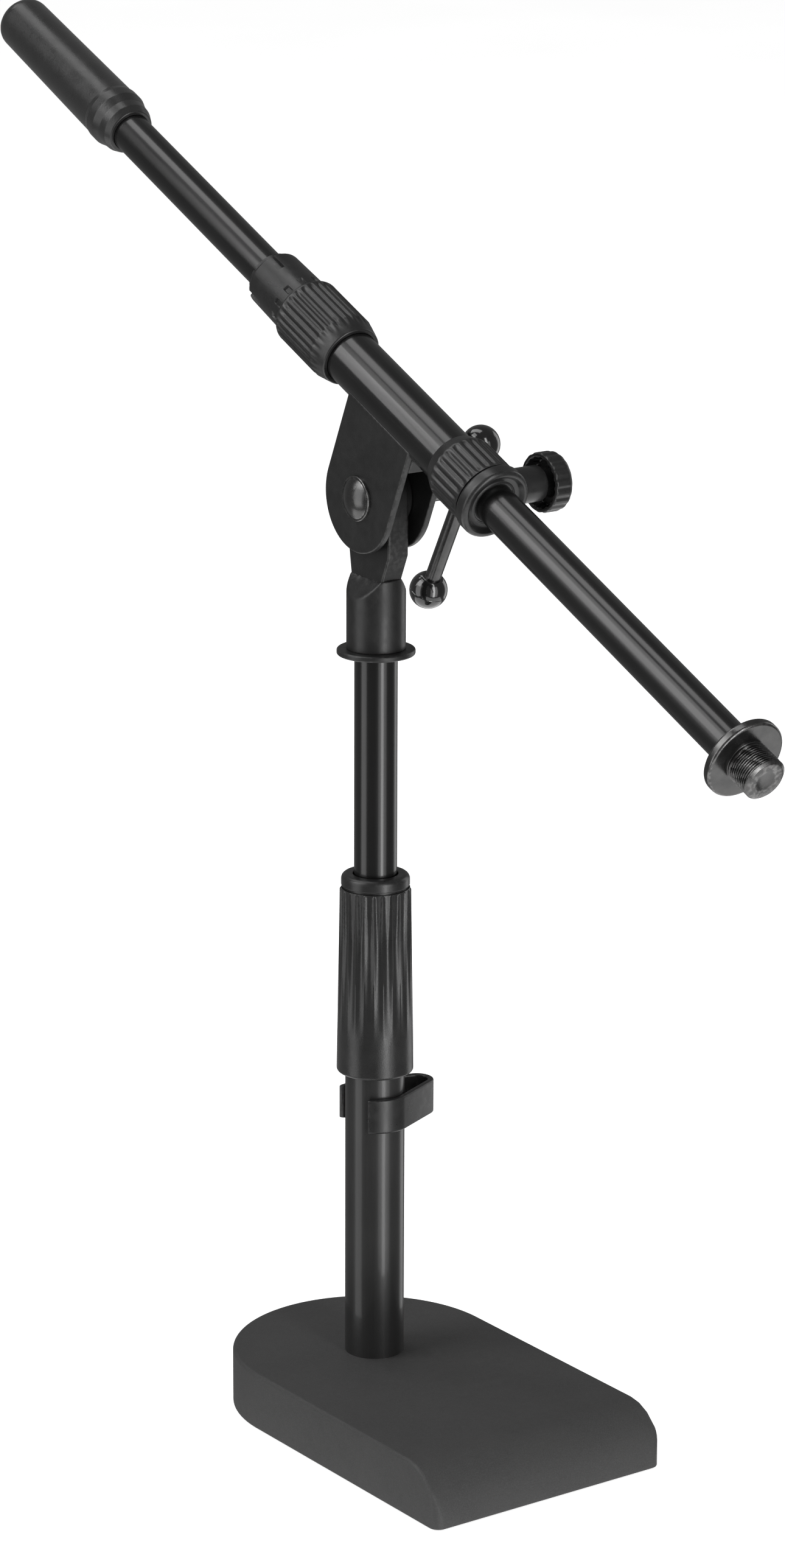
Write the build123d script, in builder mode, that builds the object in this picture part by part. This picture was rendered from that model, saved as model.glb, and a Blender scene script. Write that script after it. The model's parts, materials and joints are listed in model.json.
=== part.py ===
"""Short boom microphone stand on a weighted base.

Millimetres. The origin is the point where the mast's axis meets the floor. +Z is up and -Y is the
front, where the boom's threaded end points. +X is the side of the T-handle and the clamp knob.
"""
from build123d import *
from math import asin, cos, degrees, radians, sin, sqrt
import os

os.makedirs("parts", exist_ok=True)

# ---- driving dimensions ----
CLEAR = 0.4            # gap between pieces that move past each other
FIT = 0.06             # radial clearance of a running fit
OVER = 1.0             # how far a cutting shape reaches past the piece that it cuts
SMALL_EDGE = 0.8       # chamfer of small turned pieces

# base
BASE_HALF = 51.2       # half width, and radius of the round rear end
BASE_ROUND_Y = 4.0     # centre of the round end
BASE_FRONT_Y = -110.4
BASE_TOP = 22.8
BASE_BOTTOM = 1.0      # the casting stands this much proud of the floor, on its pad
NOSE_LENGTH = 18.0     # length of the rounded front top edge
NOSE_HEIGHT = 18.6
BASE_EDGE = 1.4        # rounding of its top edge
BASE_CORNER = 4.0      # plan radius of the front corners
PAD_MARGIN = 3.0
PAD_THICK = 2.0
BOLT_R = 5.0
BOLT_TOP = 32.0
BOLT_HEAD_R = 8.5
BOLT_HEAD_FOOT = 3.0
BOLT_POCKET_R = 10.0
BOLT_HOLE_R = 5.3
WASHER_FOOT = 8.0
WASHER_TOP = 9.5

# tubes
LOWER_R = 11.1
LOWER_BORE_R = 9.6
LOWER_FOOT = 14.0
LOWER_TOP = 190.0
UPPER_R = 7.94
UPPER_BORE_R = 6.7
UPPER_FOOT = 122.0
PLUG_TOP = 38.0
BUSH_FOOT = 118.0
BUSH_TOP = 140.0

# twist clutch of the mast
GRIP_FOOT = 134.0
GRIP_TOP = 205.0
GRIP_FOOT_R = 14.3
GRIP_TOP_R = 13.3
NUT_R = 12.6
FERRULE_R = 11.9
FERRULE_FOOT = 145.0
FERRULE_TOP = 203.0
RING_BORE_R = 10.5     # bore of the top ring, which sits on a neck of the nut
RING_TOP = 210.3
RING_R = 12.7
COLLET_SLOTS = 4       # slots that let a collet close, in the mast's and in the boom's
COLLET_SLOT_WIDTH = 1.2

# cable clip
CLIP_FOOT = 113.0
CLIP_TOP = 126.0
CLIP_WALL = 2.3
CLIP_END = (20.3, 1.5)
CLIP_END_R = 4.0
CLIP_MOUTH = [(0, 0), (-9, 16), (-25, 16), (-25, -23.3)]
CLIP_EDGE = 0.8

# top of the mast
FLANGE_R = 14.4
FLANGE_FOOT = 293.3
FLANGE_TOP = 295.5
STUD_TOP = 314.0
PLUG_LENGTH = 22.0     # how far each end fitting reaches into its tube
SOCKET_R = 10.85
SHOULDER_TOP = 322.5   # where the socket's sloping shoulders meet the tongue
SHOULDER_FOOT = 315.0
TONGUE_HALF = 4.4      # half thickness of the tongue
TONGUE_R = 12.6
TONGUE_WIDE_Z = 332.0  # height above which the tongue is as wide as its round top

# boom, in its own frame: s runs forward and down along the boom, n is square to it and up
TILT = 23.57
BOOM_HEIGHT = 393.1
PIVOT_S = 17.5
PIVOT_N = -36.8
EAR_HALF_WIDTH = 20.2
EAR_OUTER = 9.45       # half width over the two ears
EAR_THICK = 2.5
WEB_THICK = 3.0
EAR_TOP = -3.0

SLEEVE_R = 10.15
SLEEVE_BORE_R = 8.95
SLEEVE_REAR = -46.0
SLEEVE_FRONT = 60.0
ROD_R = 7.5
ROD_BORE_R = 6.2
ROD_REAR = -257.0
ROD_FRONT = 227.0
END_FLANGE_R = 15.0
END_FLANGE_FRONT = 230.5
THREAD_R = 7.94        # 5/8 inch, 27 threads per inch, over the crests
THREAD_TIP = 242.0
WEIGHT_REAR = -264.0
WEIGHT_FRONT = -176.0
WEIGHT_R = 9.4
JACKET_REAR_R = 10.5   # the grip widens a little to the front
JACKET_R = 11.3
JACKET_LIP_R = 11.7    # raised ring round the grip's front end
JACKET_LIP_BACK = -190.0
JACKET_LIP_FRONT = -186.0
JACKET_SEAT = -186.0   # where the grip ends its hold on the weight, and grips the rod
JACKET_END_R = 5.5     # rounding of the grip's rear end
ROD_PLUG_LENGTH = 14.0

# rear twist clutch and front clamp of the boom
REAR_NUT_R = 13.4
REAR_NUT_BACK = -48.5
REAR_NUT_FRONT = -17.2
REAR_NUT_RIBS = 28
REAR_FLUTE_R = 0.9     # each flute is this round, and this far out from the nut's outside
REAR_FLUTE_OUT = 0.4
COLLAR_R = 11.1
COLLAR_BACK = -71.0
COLLAR_SEAT = -58.0    # where the collar's wide bore ends, against the collet
COLLAR_BORE_R = 9.6
COLLAR_STEP = -36.0    # where its bore opens to the inside of the sleeve
COLLAR_SLOTS = 4
COLLAR_SLOT_WIDTH = 2.4
COLLAR_SLOT_LENGTH = 8.0
COLLET_BACK = -73.0
COLLET_SLOT_LENGTH = 10.0
CLAMP_BACK = 51.0
CLAMP_FRONT = 79.0
CLAMP_R = 13.0
CLAMP_RIM_R = 13.8
CLAMP_RIM_LENGTH = 6.0
CLAMP_LIP = 2.0        # thickness of the front wall
CLAMP_RIBS = 24
CLAMP_FLUTE_R = 1.1
CLAMP_FLUTE_OUT = 0.7
BUSH_R = 9.5           # the bush inside the clamp
KNOB_S = 70.0
KNOB_R = 10.8
KNOB_IN = 24.6
KNOB_OUT = 32.6
KNOB_WALL = 2.0        # thickness over the screw's end
KNOB_HUB_R = 5.2
KNOB_HOLLOW_R = 8.4
KNOB_HOLLOW = 4.0      # depth of the hollow behind
KNOB_SCALLOPS = 18
KNOB_SCALLOP_R = 1.8
KNOB_SCALLOP_OUT = 1.5
BOSS_R = 6.5
BOSS_IN = 9.0          # where the boss and the screw's hole begin, inside the barrel
SCREW_R = 3.0

# T-handle
SPINDLE_R = 3.0
SPINDLE_END = 30.0
BUSHING_R = 4.6        # the pivot bush in the tongue
DISC_R = 11.5          # friction discs
WASHER_R = 7.5
WASHER_THICK = 1.4
HEAD_R = 8.3           # domed bolt head: radius, straight rim and dome height
HEAD_RIM = 1.0
HEAD_DOME = 2.6
BAR_X = 39.6           # the bar's distance from the mast's axis
BAR_R = 3.0
BAR_LEAN = 27.8        # the bar's lean from upright, in degrees
BAR_LONG = 50.9        # ball centre to spindle axis, long end and short end
BAR_SHORT = 17.4
BALL_R = 7.15
HUB_R = 6.3
HUB_WAIST_R = 5.3
CROSS_HALF = 9.85      # half length of the hub's cross boss
CROSS_R = 4.8

# ---- planes and axes worked out from them ----
FORWARD = Vector(0, -cos(radians(TILT)), -sin(radians(TILT)))
UPWARD = Vector(0, -sin(radians(TILT)), cos(radians(TILT)))
BOOM_ORIGIN = Vector(0, 0, BOOM_HEIGHT)
BOOM_SIDE = Plane(origin=BOOM_ORIGIN, x_dir=FORWARD, z_dir=(-1, 0, 0))
BOOM_AXIS = Axis(BOOM_ORIGIN, FORWARD)
PIVOT = BOOM_ORIGIN + FORWARD * PIVOT_S + UPWARD * PIVOT_N
PIVOT_SIDE = Plane(origin=PIVOT, x_dir=(1, 0, 0), z_dir=(0, -1, 0))
PIVOT_AXIS = Axis(PIVOT, (1, 0, 0))
KNOB_CENTRE = BOOM_ORIGIN + FORWARD * KNOB_S
KNOB_SIDE = Plane(origin=KNOB_CENTRE, x_dir=(1, 0, 0), z_dir=(0, -1, 0))
KNOB_AXIS = Axis(KNOB_CENTRE, (1, 0, 0))
BAR_DOWN = Vector(0, sin(radians(BAR_LEAN)), -cos(radians(BAR_LEAN)))
BAR_CENTRE = Vector(BAR_X, PIVOT.Y, PIVOT.Z)


def across_boom(s):
    """A plane square to the boom at s: its x is +X, its y is up and square to the boom."""
    return Plane(origin=BOOM_ORIGIN + FORWARD * s, x_dir=(1, 0, 0), z_dir=FORWARD)


def across_pivot(x):
    """A plane square to the pivot at x: its x is +Y, its y is +Z."""
    return Plane(origin=(x, PIVOT.Y, PIVOT.Z), x_dir=(0, 1, 0), z_dir=(1, 0, 0))


def across_bar(distance):
    """A plane square to the T-bar, this far down it from the spindle's axis."""
    return Plane(origin=BAR_CENTRE + BAR_DOWN * distance, x_dir=(1, 0, 0), z_dir=BAR_DOWN)


def outline(plane, points):
    """A flat face with the given corners."""
    with BuildSketch(plane) as face:
        with BuildLine():
            Polyline(*points, close=True)
        make_face()
    return face.sketch


def ring(low, high, inner, outer):
    """Corners of a plain ring's half section, along the axis first."""
    return [(low, inner), (high, inner), (high, outer), (low, outer)]


def upright(points):
    """Turns corners given as (height, radius) round the mast into a half section."""
    return outline(Plane.XZ, [(radius, height) for height, radius in points])


def base_plan(z, margin):
    """The base's plan, straight in front and round behind, drawn in by a margin."""
    half = BASE_HALF - margin
    front = BASE_FRONT_Y + margin
    with BuildSketch(Plane.XY.offset(z)) as plan:
        with BuildLine():
            Line((half, BASE_ROUND_Y), (half, front))
            Line((half, front), (-half, front))
            Line((-half, front), (-half, BASE_ROUND_Y))
            ThreePointArc((-half, BASE_ROUND_Y), (0, BASE_ROUND_Y + half), (half, BASE_ROUND_Y))
        make_face()
        fillet(plan.vertices().sort_by(Axis.Y)[:2], BASE_CORNER - margin / 2)
    return plan.sketch


def save(builder, name):
    """Labels a finished piece and writes it."""
    builder.part.label = name
    export_step(builder.part, "parts/" + name + ".step")


# ---- base ----
with BuildPart() as base_casting:
    extrude(base_plan(BASE_BOTTOM, 0), amount=BASE_TOP - BASE_BOTTOM)
    fillet(base_casting.faces().sort_by(Axis.Z)[-1].edges(), BASE_EDGE)
    # the front falls away in a quarter of an ellipse
    with BuildSketch(Plane.YZ.offset(-BASE_HALF - OVER)):
        with BuildLine():
            nose_start = (BASE_FRONT_Y + NOSE_LENGTH, BASE_TOP)
            nose_end = (BASE_FRONT_Y, BASE_TOP - NOSE_HEIGHT)
            EllipticalCenterArc(
                (nose_start[0], nose_end[1]), NOSE_LENGTH, NOSE_HEIGHT, start_angle=90, arc_size=90
            )
            Polyline(
                nose_start,
                (nose_start[0], BASE_TOP + OVER),
                (BASE_FRONT_Y - OVER, BASE_TOP + OVER),
                (BASE_FRONT_Y - OVER, nose_end[1]),
                nose_end,
            )
        make_face()
    extrude(amount=2 * (BASE_HALF + OVER), mode=Mode.SUBTRACT)
    # shallow pocket for the pad, and the stepped hole for tube, bolt and washer
    extrude(base_plan(BASE_BOTTOM, PAD_MARGIN), amount=PAD_THICK - BASE_BOTTOM, mode=Mode.SUBTRACT)
    revolve(
        upright(ring(PAD_THICK, WASHER_TOP, 0, BOLT_POCKET_R)),
        axis=Axis.Z,
        mode=Mode.SUBTRACT,
    )
    revolve(upright(ring(WASHER_TOP, LOWER_FOOT, 0, BOLT_HOLE_R)), axis=Axis.Z, mode=Mode.SUBTRACT)
    revolve(upright(ring(LOWER_FOOT, BASE_TOP, 0, LOWER_R)), axis=Axis.Z, mode=Mode.SUBTRACT)
save(base_casting, "base_casting")

with BuildPart() as base_pad:
    extrude(base_plan(0, PAD_MARGIN), amount=PAD_THICK)
save(base_pad, "base_pad")

with BuildPart() as base_bolt:
    with BuildSketch(Plane.XY.offset(BOLT_HEAD_FOOT)):
        RegularPolygon(BOLT_HEAD_R, 6)
    extrude(amount=WASHER_FOOT - BOLT_HEAD_FOOT)
    with BuildSketch(Plane.XY.offset(WASHER_FOOT)):
        Circle(BOLT_R)
    extrude(amount=BOLT_TOP - WASHER_FOOT)
    chamfer(base_bolt.faces().sort_by(Axis.Z)[-1].edges(), SMALL_EDGE)
save(base_bolt, "base_bolt")

with BuildPart() as base_washer:
    revolve(upright(ring(WASHER_FOOT, WASHER_TOP, BOLT_R, BOLT_HEAD_R)), axis=Axis.Z)
save(base_washer, "base_washer")

# ---- lower tube ----
with BuildPart() as lower_tube:
    revolve(upright(ring(LOWER_FOOT, LOWER_TOP, LOWER_BORE_R, LOWER_R)), axis=Axis.Z)
save(lower_tube, "lower_tube")

with BuildPart() as foot_plug:
    revolve(upright(ring(LOWER_FOOT, PLUG_TOP, BOLT_R, LOWER_BORE_R)), axis=Axis.Z)
    chamfer(foot_plug.edges().group_by(Axis.Z)[-1], SMALL_EDGE)
save(foot_plug, "foot_plug")

with BuildPart() as clutch_ferrule:
    ferrule = [
        (FERRULE_FOOT, LOWER_R),
        (LOWER_TOP, LOWER_R),
        (LOWER_TOP, LOWER_BORE_R),
        (FERRULE_TOP, LOWER_BORE_R),
        (FERRULE_TOP, FERRULE_R - 1),
        (FERRULE_TOP - 2, FERRULE_R),
        (FERRULE_FOOT, FERRULE_R),
    ]
    revolve(upright(ferrule), axis=Axis.Z)
save(clutch_ferrule, "clutch_ferrule")

# ---- turning part of the mast's clutch ----
with BuildPart() as clutch_nut:
    nut = [
        (GRIP_FOOT + 1.5, FERRULE_R + FIT),
        (FERRULE_TOP + CLEAR, FERRULE_R + FIT),
        (FERRULE_TOP + CLEAR, RING_BORE_R - 0.1),
        (GRIP_TOP + 1, UPPER_R + CLEAR),
        (RING_TOP - 1.5, UPPER_R + CLEAR),
        (RING_TOP - 1.5, RING_BORE_R),
        (GRIP_TOP, RING_BORE_R),
        (GRIP_TOP, NUT_R),
        (GRIP_FOOT + 1.5, NUT_R),
    ]
    revolve(upright(nut), axis=Axis.Z)
save(clutch_nut, "clutch_nut")

with BuildPart() as clutch_grip:
    grip = [
        (GRIP_FOOT + 1.5, NUT_R),
        (GRIP_TOP, NUT_R),
        (GRIP_TOP, GRIP_TOP_R - 0.4),
        (GRIP_TOP - 1, GRIP_TOP_R),
        (GRIP_FOOT + 1, GRIP_FOOT_R),
        (GRIP_FOOT, GRIP_FOOT_R - 0.8),
        (GRIP_FOOT, LOWER_R + CLEAR),
        (GRIP_FOOT + 1.5, LOWER_R + CLEAR),
    ]
    revolve(upright(grip), axis=Axis.Z)
save(clutch_grip, "clutch_grip")

with BuildPart() as clutch_ring:
    ring_section = [
        (GRIP_TOP, RING_BORE_R),
        (RING_TOP - 1.5, RING_BORE_R),
        (RING_TOP - 1.5, UPPER_R + CLEAR),
        (RING_TOP, UPPER_R + CLEAR),
        (RING_TOP, RING_R - 1.4),
        (RING_TOP - 1.4, RING_R),
        (GRIP_TOP, RING_R),
    ]
    revolve(upright(ring_section), axis=Axis.Z)
save(clutch_ring, "clutch_ring")

# ---- collet, which the upper tube slides in and turns with ----
with BuildPart() as clutch_collet:
    collet = [
        (LOWER_TOP + CLEAR, UPPER_R + FIT),
        (GRIP_TOP - 1, UPPER_R + FIT),
        (GRIP_TOP - 1, UPPER_R + 1.0),
        (FERRULE_TOP - 1, LOWER_BORE_R - FIT),
        (LOWER_TOP + CLEAR, LOWER_BORE_R - FIT),
    ]
    revolve(upright(collet), axis=Axis.Z)
    with BuildSketch(Plane.XY.offset(LOWER_TOP + 4)):
        with PolarLocations(LOWER_BORE_R - 1, COLLET_SLOTS):
            Rectangle(4, COLLET_SLOT_WIDTH)
    extrude(amount=GRIP_TOP - LOWER_TOP, mode=Mode.SUBTRACT)
save(clutch_collet, "clutch_collet")

# ---- cable clip ----
with BuildPart() as cable_clip:
    with BuildSketch(Plane.XY.offset(CLIP_FOOT)) as clip_plan:
        with BuildSketch(mode=Mode.ADD):
            Circle(LOWER_R + FIT + CLIP_WALL)
            with Locations(CLIP_END):
                Circle(CLIP_END_R + CLIP_WALL)
            make_hull()
        with BuildSketch(mode=Mode.SUBTRACT):
            Circle(LOWER_R + FIT)
            with Locations(CLIP_END):
                Circle(CLIP_END_R)
            make_hull()
        # the mouth that snaps over the tube, wider to the rear
        with BuildSketch(mode=Mode.SUBTRACT):
            with BuildLine():
                Polyline(*CLIP_MOUTH, close=True)
            make_face()
    extrude(amount=CLIP_TOP - CLIP_FOOT)
    fillet(cable_clip.edges().filter_by(Axis.Z).sort_by(Axis.X)[:4], CLIP_EDGE)
save(cable_clip, "cable_clip")

# ---- upper tube and the socket on it ----
with BuildPart() as upper_tube:
    revolve(upright(ring(UPPER_FOOT, FLANGE_FOOT, UPPER_BORE_R, UPPER_R)), axis=Axis.Z)
save(upper_tube, "upper_tube")

with BuildPart() as tube_bush:
    bush = [
        (BUSH_FOOT, UPPER_BORE_R),
        (UPPER_FOOT, UPPER_BORE_R),
        (UPPER_FOOT, UPPER_R),
        (BUSH_TOP, UPPER_R),
        (BUSH_TOP, LOWER_BORE_R - FIT),
        (BUSH_FOOT + 1.5, LOWER_BORE_R - FIT),
        (BUSH_FOOT, LOWER_BORE_R - 1.5),
    ]
    revolve(upright(bush), axis=Axis.Z)
save(tube_bush, "tube_bush")

with BuildPart() as mast_fitting:
    fitting = [
        (FLANGE_FOOT - PLUG_LENGTH, 0),
        (STUD_TOP, 0),
        (STUD_TOP, UPPER_R - 1),
        (STUD_TOP - 1, UPPER_R),
        (FLANGE_TOP, UPPER_R),
        (FLANGE_TOP, FLANGE_R - 0.6),
        (FLANGE_TOP - 0.6, FLANGE_R),
        (FLANGE_FOOT + 0.6, FLANGE_R),
        (FLANGE_FOOT, FLANGE_R - 0.6),
        (FLANGE_FOOT, UPPER_BORE_R),
        (FLANGE_FOOT - PLUG_LENGTH, UPPER_BORE_R),
    ]
    revolve(upright(fitting), axis=Axis.Z)
save(mast_fitting, "mast_fitting")

with BuildPart() as swivel_socket:
    # round socket, sloped off on two sides to the tongue
    revolve(upright(ring(FLANGE_TOP, SHOULDER_TOP, 0, SOCKET_R)), axis=Axis.Z)
    for side in (-1, 1):
        with BuildSketch(Plane.XZ.offset(-SOCKET_R - OVER)):
            with BuildLine():
                Polyline(
                    (side * TONGUE_HALF, SHOULDER_TOP),
                    (side * SOCKET_R, SHOULDER_FOOT),
                    (side * (SOCKET_R + OVER), SHOULDER_FOOT),
                    (side * (SOCKET_R + OVER), SHOULDER_TOP + OVER),
                    (side * TONGUE_HALF, SHOULDER_TOP + OVER),
                    close=True,
                )
            make_face()
        extrude(amount=2 * (SOCKET_R + OVER), mode=Mode.SUBTRACT)
    # flat tongue, leaning forward to the pivot
    with BuildSketch(Plane.YZ.offset(-TONGUE_HALF)):
        with BuildLine():
            rear = PIVOT.Y + TONGUE_R
            front = PIVOT.Y - TONGUE_R
            foot = sqrt(SOCKET_R**2 - TONGUE_HALF**2)
            Polyline((rear, PIVOT.Z), (rear, TONGUE_WIDE_Z), (foot, SHOULDER_TOP))
            Polyline((foot, SHOULDER_TOP), (foot, FLANGE_TOP), (-foot, FLANGE_TOP))
            Polyline((-foot, FLANGE_TOP), (-foot, SHOULDER_TOP), (front, TONGUE_WIDE_Z))
            Line((front, TONGUE_WIDE_Z), (front, PIVOT.Z))
            ThreePointArc((front, PIVOT.Z), (PIVOT.Y, PIVOT.Z + TONGUE_R), (rear, PIVOT.Z))
        make_face()
    extrude(amount=2 * TONGUE_HALF)
    revolve(upright(ring(FLANGE_TOP, STUD_TOP + 1, 0, UPPER_R)), axis=Axis.Z, mode=Mode.SUBTRACT)
    with BuildSketch(across_pivot(-TONGUE_HALF - OVER)):
        Circle(BUSHING_R)
    extrude(amount=2 * (TONGUE_HALF + OVER), mode=Mode.SUBTRACT)
save(swivel_socket, "swivel_socket")

with BuildPart() as pivot_bush:
    revolve(
        outline(PIVOT_SIDE, ring(-TONGUE_HALF, TONGUE_HALF, SPINDLE_R + FIT, BUSHING_R)),
        axis=PIVOT_AXIS,
    )
save(pivot_bush, "pivot_bush")

with BuildPart() as friction_discs:
    for side in (-1, 1):
        face = side * (EAR_OUTER - EAR_THICK - CLEAR)
        disc = ring(side * TONGUE_HALF, face, SPINDLE_R + CLEAR, DISC_R)
        revolve(outline(PIVOT_SIDE, disc), axis=PIVOT_AXIS)
save(friction_discs, "friction_discs")

# ---- bracket, sleeve and pivot bolt ----
with BuildPart() as boom_bracket:
    # two ears with round feet
    with BuildSketch(Plane(origin=BOOM_SIDE.origin + (EAR_OUTER, 0, 0),
                           x_dir=FORWARD, z_dir=(-1, 0, 0))):
        with BuildLine():
            ear_rear = PIVOT_S - EAR_HALF_WIDTH
            ear_front = PIVOT_S + EAR_HALF_WIDTH
            Polyline(
                (ear_rear, PIVOT_N), (ear_rear, EAR_TOP), (ear_front, EAR_TOP), (ear_front, PIVOT_N)
            )
            ThreePointArc(
                (ear_front, PIVOT_N), (PIVOT_S, PIVOT_N - EAR_HALF_WIDTH), (ear_rear, PIVOT_N)
            )
        make_face()
    extrude(amount=2 * EAR_OUTER)
    # the gap for the tongue, below a web
    gap_half = EAR_OUTER - EAR_THICK
    gap_height = 2 * EAR_HALF_WIDTH - PIVOT_N
    with BuildSketch(across_boom(ear_rear - OVER)):
        with Locations((0, -SLEEVE_R - WEB_THICK - gap_height / 2)):
            Rectangle(2 * gap_half, gap_height)
    extrude(amount=2 * (EAR_HALF_WIDTH + OVER), mode=Mode.SUBTRACT)
    # seat for the sleeve, and the spindle's hole
    revolve(
        outline(BOOM_SIDE, ring(ear_rear - OVER, ear_front + OVER, 0, SLEEVE_R)),
        axis=BOOM_AXIS,
        mode=Mode.SUBTRACT,
    )
    revolve(
        outline(PIVOT_SIDE, ring(-EAR_OUTER - OVER, EAR_OUTER + OVER, 0, SPINDLE_R)),
        axis=PIVOT_AXIS,
        mode=Mode.SUBTRACT,
    )
save(boom_bracket, "boom_bracket")

with BuildPart() as boom_sleeve:
    revolve(
        outline(BOOM_SIDE, ring(SLEEVE_REAR, SLEEVE_FRONT, SLEEVE_BORE_R, SLEEVE_R)),
        axis=BOOM_AXIS,
    )
save(boom_sleeve, "boom_sleeve")

with BuildPart() as pivot_bolt:
    # shank, and a head domed on a sphere whose centre lies on the axis
    revolve(outline(PIVOT_SIDE, ring(-EAR_OUTER, SPINDLE_END, 0, SPINDLE_R)), axis=PIVOT_AXIS)
    dome_r = (HEAD_R**2 + HEAD_DOME**2) / (2 * HEAD_DOME)
    with BuildSketch(PIVOT_SIDE):
        with BuildLine():
            crown = CenterArc(
                (dome_r - EAR_OUTER - HEAD_RIM - HEAD_DOME, 0),
                dome_r,
                start_angle=180 - degrees(asin(HEAD_R / dome_r)),
                arc_size=degrees(asin(HEAD_R / dome_r)),
            )
            Polyline(crown @ 1, (-EAR_OUTER, 0), (-EAR_OUTER, HEAD_R), crown @ 0)
        make_face()
    revolve(axis=PIVOT_AXIS)
save(pivot_bolt, "pivot_bolt")

with BuildPart() as handle_washer:
    revolve(
        outline(PIVOT_SIDE, ring(EAR_OUTER, EAR_OUTER + WASHER_THICK, SPINDLE_R, WASHER_R)),
        axis=PIVOT_AXIS,
    )
save(handle_washer, "handle_washer")

# ---- T-handle ----
with BuildPart() as handle_hub:
    hub_in = EAR_OUTER + WASHER_THICK + CLEAR
    hub = [
        (hub_in, 0),
        (BAR_X + 5.5, 0),
        (BAR_X + 5.5, 3.5),
        (BAR_X + 3.5, HUB_WAIST_R),
        (BAR_X - 6, HUB_WAIST_R),
        (hub_in + 6, HUB_R),
        (hub_in, HUB_R),
    ]
    revolve(outline(PIVOT_SIDE, hub), axis=PIVOT_AXIS)
    with BuildSketch(across_bar(-CROSS_HALF)):
        Circle(CROSS_R)
    extrude(amount=2 * CROSS_HALF)
    with BuildSketch(across_bar(-CROSS_HALF - OVER)):
        Circle(BAR_R + FIT)
    extrude(amount=2 * (CROSS_HALF + OVER), mode=Mode.SUBTRACT)
    revolve(
        outline(PIVOT_SIDE, ring(hub_in - OVER, SPINDLE_END + 1, 0, SPINDLE_R + FIT)),
        axis=PIVOT_AXIS,
        mode=Mode.SUBTRACT,
    )
save(handle_hub, "handle_hub")

with BuildPart() as t_bar:
    with BuildSketch(across_bar(-BAR_SHORT)):
        Circle(BAR_R)
    extrude(amount=BAR_SHORT + BAR_LONG)
save(t_bar, "t_bar")

with BuildPart() as t_bar_balls:
    # each ball is bored from its inner side to its centre for the bar
    for end in (-BAR_SHORT, BAR_LONG):
        with Locations(BAR_CENTRE + BAR_DOWN * end):
            Sphere(BALL_R)
    with BuildSketch(across_bar(-BAR_SHORT)):
        Circle(BAR_R)
    extrude(amount=BAR_SHORT + BAR_LONG, mode=Mode.SUBTRACT)
save(t_bar_balls, "t_bar_balls")

# ---- front clamp ----
with BuildPart() as front_collar:
    # ribbed barrel, cut from a fluted prism
    with BuildSketch(across_boom(CLAMP_BACK)):
        Circle(CLAMP_RIM_R)
        with PolarLocations(CLAMP_R + CLAMP_FLUTE_OUT, CLAMP_RIBS):
            Circle(CLAMP_FLUTE_R, mode=Mode.SUBTRACT)
    extrude(amount=CLAMP_FRONT - CLAMP_RIM_LENGTH - CLAMP_BACK)
    barrel = [
        (CLAMP_BACK, 0),
        (CLAMP_FRONT, 0),
        (CLAMP_FRONT, CLAMP_R),
        (CLAMP_BACK + 5, CLAMP_R),
        (CLAMP_BACK, SLEEVE_R + 0.7),
    ]
    revolve(outline(BOOM_SIDE, barrel), axis=BOOM_AXIS, mode=Mode.INTERSECT)
    # smooth rim in front
    rim = [
        (CLAMP_FRONT - CLAMP_RIM_LENGTH, 0),
        (CLAMP_FRONT, 0),
        (CLAMP_FRONT, CLAMP_RIM_R - 1.4),
        (CLAMP_FRONT - 1.2, CLAMP_RIM_R),
        (CLAMP_FRONT - CLAMP_RIM_LENGTH + 1.2, CLAMP_RIM_R),
        (CLAMP_FRONT - CLAMP_RIM_LENGTH, CLAMP_RIM_R - 1),
    ]
    revolve(outline(BOOM_SIDE, rim), axis=BOOM_AXIS)
    # boss for the clamp screw
    revolve(outline(KNOB_SIDE, ring(BOSS_IN, KNOB_IN - CLEAR, 0, BOSS_R)), axis=KNOB_AXIS)
    # bores: for the sleeve's end, the bush, the rod and the screw
    for low, high, radius in (
        (CLAMP_BACK - OVER, SLEEVE_FRONT, SLEEVE_R),
        (SLEEVE_FRONT, CLAMP_FRONT - CLAMP_LIP, BUSH_R),
        (CLAMP_FRONT - CLAMP_LIP, CLAMP_FRONT + OVER, ROD_R + 0.6),
    ):
        bore = ring(low, high, 0, radius)
        revolve(outline(BOOM_SIDE, bore), axis=BOOM_AXIS, mode=Mode.SUBTRACT)
    revolve(
        outline(KNOB_SIDE, ring(BOSS_IN, KNOB_IN, 0, SCREW_R)), axis=KNOB_AXIS, mode=Mode.SUBTRACT
    )
save(front_collar, "front_collar")

with BuildPart() as collar_bush:
    revolve(
        outline(BOOM_SIDE, ring(SLEEVE_FRONT, CLAMP_FRONT - CLAMP_LIP, ROD_R + FIT, BUSH_R)),
        axis=BOOM_AXIS,
    )
    revolve(
        outline(KNOB_SIDE, ring(ROD_R - 2, BUSH_R + 2, 0, SCREW_R)),
        axis=KNOB_AXIS,
        mode=Mode.SUBTRACT,
    )
save(collar_bush, "collar_bush")

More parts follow.
